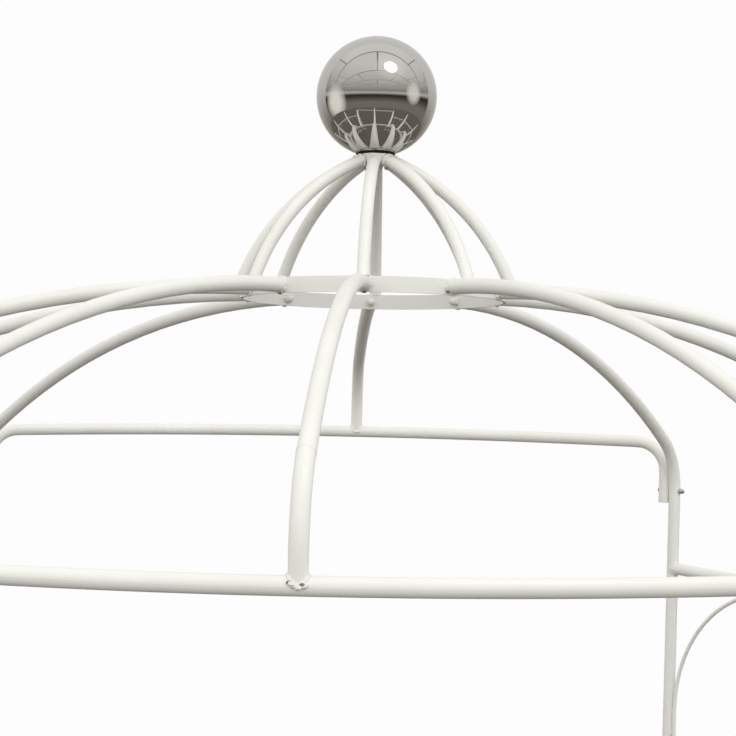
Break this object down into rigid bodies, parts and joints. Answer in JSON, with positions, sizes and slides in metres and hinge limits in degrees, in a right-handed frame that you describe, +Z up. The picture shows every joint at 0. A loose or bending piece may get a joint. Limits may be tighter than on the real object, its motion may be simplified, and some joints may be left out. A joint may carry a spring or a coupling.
{
  "type": "metal rose pavilion",
  "caption": "Round garden pavilion of white bent steel tube for climbing roses, with a domed rib roof, doorway bows, arched side panels and a polished ball on a lantern.",
  "frame": {"origin": "middle of the post circle on the ground", "axes": "+Z up, -Y out of the front doorway, +X to the right seen from the front"},
  "size_m": [2.3578, 2.2448, 2.7949],
  "materials": {
    "white_powder_coat": "satin white powder coat",
    "polished_stainless": "mirror polished stainless steel"
  },
  "bodies": {
    "root": {"post_front_left": "white_powder_coat", "post_front_right": "white_powder_coat", "post_side_left_front": "white_powder_coat", "post_side_right_front": "white_powder_coat", "post_side_left_rear": "white_powder_coat", "post_side_right_rear": "white_powder_coat", "post_rear_left": "white_powder_coat", "post_rear_right": "white_powder_coat", "rib_front": "white_powder_coat", "rib_rear": "white_powder_coat", "bow_front": "white_powder_coat", "bow_rear": "white_powder_coat", "crown_ring": "white_powder_coat", "lantern_legs": "white_powder_coat", "crown_hub": "white_powder_coat", "top_rail_left_front": "white_powder_coat", "top_rail_left_middle": "white_powder_coat", "top_rail_left_rear": "white_powder_coat", "top_rail_right_front": "white_powder_coat", "top_rail_right_middle": "white_powder_coat", "top_rail_right_rear": "white_powder_coat", "arch_left_front": "white_powder_coat", "arch_left_middle": "white_powder_coat", "arch_left_rear": "white_powder_coat", "arch_right_front": "white_powder_coat", "arch_right_middle": "white_powder_coat", "arch_right_rear": "white_powder_coat", "bottom_rails_left": "white_powder_coat", "bottom_rails_right": "white_powder_coat", "trellis_rods_left": "white_powder_coat", "trellis_rods_right": "white_powder_coat", "foot_plates": "white_powder_coat", "crown_ball": "polished_stainless"}
  },
  "joints": []
}
